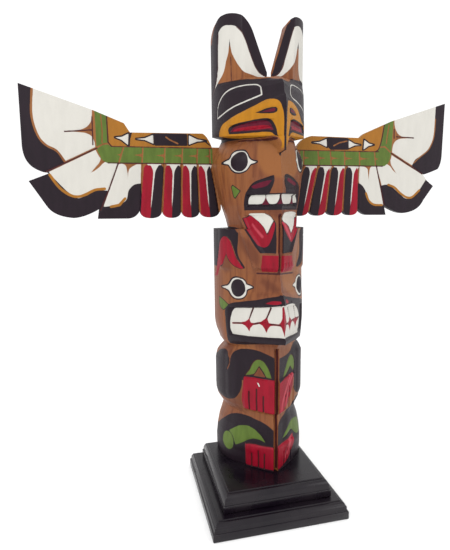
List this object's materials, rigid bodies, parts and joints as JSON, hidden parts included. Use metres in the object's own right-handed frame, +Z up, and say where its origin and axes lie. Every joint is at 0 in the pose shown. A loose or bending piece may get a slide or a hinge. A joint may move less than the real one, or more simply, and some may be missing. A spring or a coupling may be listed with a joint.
{
  "type": "totem pole",
  "caption": "Tabletop carved and painted totem pole with outspread wings and a crest of tall ears, on a stepped black plinth.",
  "frame": {"origin": "underside of the lower plinth board, under the middle of the whole part's width and depth, which is the pole's own middle in X", "axes": "+Z up, front (the beaks and the ridge of the pole) towards -Y, +X to the viewer's right"},
  "size_m": [0.4484, 0.131, 0.468],
  "materials": {
    "carved_wood": "satin paint and stain",
    "wing_wood": "satin paint and stain",
    "black_wood": "semi-gloss black paint"
  },
  "bodies": {
    "root": {"plinth_lower": "black_wood", "plinth_upper": "black_wood", "pole": "carved_wood", "wing_left": "wing_wood", "wing_right": "wing_wood"}
  },
  "joints": []
}
